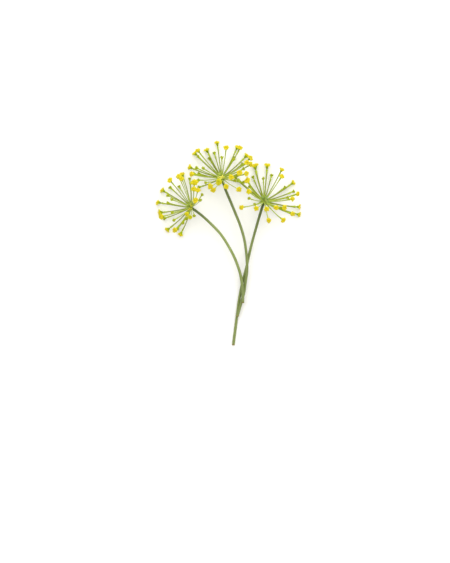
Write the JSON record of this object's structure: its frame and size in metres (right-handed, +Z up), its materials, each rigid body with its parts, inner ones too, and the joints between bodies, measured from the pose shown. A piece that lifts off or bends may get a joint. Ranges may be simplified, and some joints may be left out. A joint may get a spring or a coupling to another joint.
{
  "type": "dill bunch",
  "caption": "Small bunch of flowering dill lying flat: bare cut stems crossing one another, each ending in an umbel of thin rays tipped with tiny yellow florets and green buds.",
  "frame": {"origin": "on the table, under the middle of the bunch as it lies", "axes": "+Y from the cut ends towards the flower heads, +X to the right seen from above with the heads away, +Z up off the table"},
  "size_m": [0.1461, 0.2054, 0.0552],
  "materials": {
    "stem": "smooth, slightly waxy green plant stem with fine lengthwise ribs",
    "umbel": "soft matt flower heads: yellow florets, yellow-green buds and green rays"
  },
  "bodies": {
    "root": {"stem_left": "stem", "stem_centre": "stem", "stem_right": "stem", "umbel_left": "umbel", "umbel_centre": "umbel", "umbel_right": "umbel"}
  },
  "joints": []
}
